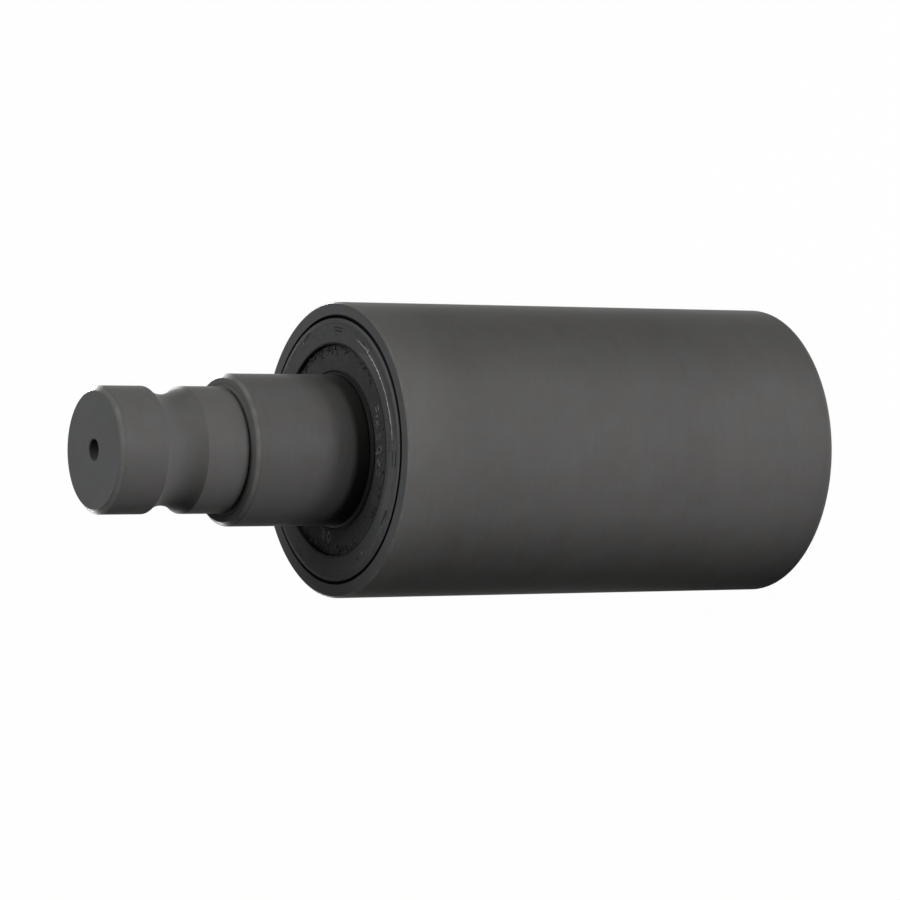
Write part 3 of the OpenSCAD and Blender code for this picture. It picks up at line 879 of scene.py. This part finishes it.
def white_to_the_camera(tree, plain, share, mirrored=None):
    """Mixes plain light or paper with an even white for the camera, and for what metal and gloss reflect.

    mirrored is a factor, from place to place, on how much of that white gloss and glass see.
    """

    def math_node(operation, first, second):
        made = tree.nodes.new("ShaderNodeMath")
        made.operation = operation
        for socket, term in zip(made.inputs, (first, second)):
            if isinstance(term, float):
                socket.default_value = term
            else:
                tree.links.new(term, socket)
        return made.outputs[0]

    path = tree.nodes.new("ShaderNodeLightPath")
    white = tree.nodes.new("ShaderNodeEmission")
    white.inputs["Strength"].default_value = 1.0
    mix = tree.nodes.new("ShaderNodeMixShader")
    seen = math_node("MAXIMUM", path.outputs["Is Glossy Ray"], path.outputs["Is Transmission Ray"])
    if mirrored:
        seen = math_node("MULTIPLY", seen, mirrored)
    either = math_node("MAXIMUM", path.outputs["Is Camera Ray"], seen)
    tree.links.new(math_node("MULTIPLY", either, share), mix.inputs[0])
    tree.links.new(plain, mix.inputs[1])
    tree.links.new(white.outputs[0], mix.inputs[2])
    return mix.outputs[0]


paper = bpy.data.materials.new("floor_paper")
paper.use_nodes = True
paper_tree = paper.node_tree
paper_tree.nodes.clear()
paper_out = paper_tree.nodes.new("ShaderNodeOutputMaterial")
paper_matt = paper_tree.nodes.new("ShaderNodeBsdfDiffuse")
paper_matt.inputs["Color"].default_value = (0.85, 0.85, 0.85, 1)
# On the -X side, gloss sees the paper as the lamps light it and not the white. No board stands there: this only
# darkens what the roller's -X edge mirrors. Without it, gloss would see white all round.
paper_place = paper_tree.nodes.new("ShaderNodeTexCoord")
paper_sides = paper_tree.nodes.new("ShaderNodeSeparateXYZ")
paper_tree.links.new(paper_place.outputs["Object"], paper_sides.inputs[0])
paper_edge = paper_tree.nodes.new("ShaderNodeMapRange")
paper_edge.inputs["From Min"].default_value, paper_edge.inputs["From Max"].default_value = -0.05, 0.02
paper_tree.links.new(paper_sides.outputs["X"], paper_edge.inputs["Value"])
paper_tree.links.new(
    white_to_the_camera(paper_tree, paper_matt.outputs[0], 0.985, paper_edge.outputs["Result"]),
    paper_out.inputs["Surface"],
)
floor_mesh.materials.append(paper)

world = bpy.data.worlds.new("studio")
bpy.context.scene.world = world
world.use_nodes = True
world_tree = world.node_tree
world_tree.nodes.clear()
world_out = world_tree.nodes.new("ShaderNodeOutputWorld")
air = world_tree.nodes.new("ShaderNodeBackground")
air.inputs["Color"].default_value = (1.2, 1.0, 1.4, 1)
air.inputs["Strength"].default_value = 0.006
world_tree.links.new(white_to_the_camera(world_tree, air.outputs[0], 1.0), world_out.inputs["Surface"])

MIDDLE = Vector((0, 0, (cad_low.z + cad_high.z) / 2))


def softbox(name, side, height, distance, width, power, length=None):
    """An area lamp aimed at the roller's middle. side is the angle from -Y towards +X, in degrees."""
    lamp = bpy.data.lights.new(name, "AREA")
    lamp.shape = "RECTANGLE"
    lamp.size = width
    lamp.size_y = length or width
    lamp.energy = power
    stand = bpy.data.objects.new(name, lamp)
    bpy.context.scene.collection.objects.link(stand)
    a, e = math.radians(side), math.radians(height)
    out = Vector((math.sin(a) * math.cos(e), -math.cos(a) * math.cos(e), math.sin(e)))
    stand.location = MIDDLE + out * distance
    stand.rotation_mode = "QUATERNION"
    stand.rotation_quaternion = out.to_track_quat("Z", "Y")
    stand.visible_camera = False
    return stand


def floor_panel(name, x, y, size, power):
    """A square lamp lying on the floor in front of the roller and facing up, as light off paper does."""
    lamp = softbox(name, 0, 0, 1.0, size, power)
    lamp.location = (x, y, 0.004)
    lamp.rotation_quaternion = (0, 1, 0, 0)
    return lamp


def foot_strip(name, side, distance, power):
    """A low strip lamp that stands on the floor and faces the roller's axis."""
    lamp = softbox(name, side, 0, distance, 0.5 * distance, power, 0.05)
    lamp.location.z = 0.03
    lamp.rotation_quaternion = Vector((*lamp.location.xy, 0)).to_track_quat("Z", "Y")
    return lamp


WARM = (0.985, 1.0, 0.975)
softbox("key", 60, 75, 0.9, 0.4, 3.52).data.color = WARM
softbox("side_key", 90, 60, 1.0, 0.5, 2.7).data.color = WARM
floor_panel("bounce", 0.15, -0.68, 0.25, 8.2).data.color = (1.03, 1.0, 1.05)
foot_strip("near_foot", 10, 0.25, 0.34).data.color = (1.04, 1.0, 1.10)
# Both stay below the front face and light the roller from behind.
softbox("back_key", 160, -2, 1.5, 0.5, 26.0, length=0.1)
softbox("back_fill", 200, -2, 1.5, 0.5, 7.0, length=0.1)

camera_data = bpy.data.cameras.new("camera")
camera_data.sensor_width = 36
camera_data.lens = 165.72
camera_data.clip_start, camera_data.clip_end = 0.05, 30
camera = bpy.data.objects.new("camera", camera_data)
bpy.context.scene.collection.objects.link(camera)
CAMERA_PLACE = Vector((0, 0, SHELL_END)) + SHELL_R * Vector((0, -24.35732, 13.74509))
TILT = math.radians(58.953)
forward = Vector((0, math.sin(TILT), -math.cos(TILT)))
image_up = Vector((1, 0, 0))
image_right = forward.cross(image_up)
turned_camera = Matrix((image_right, image_up, -forward)).transposed().to_4x4()
camera.matrix_world = Matrix.Translation(CAMERA_PLACE) @ turned_camera
bpy.context.scene.camera = camera
bpy.context.scene.view_settings.view_transform = "Standard"
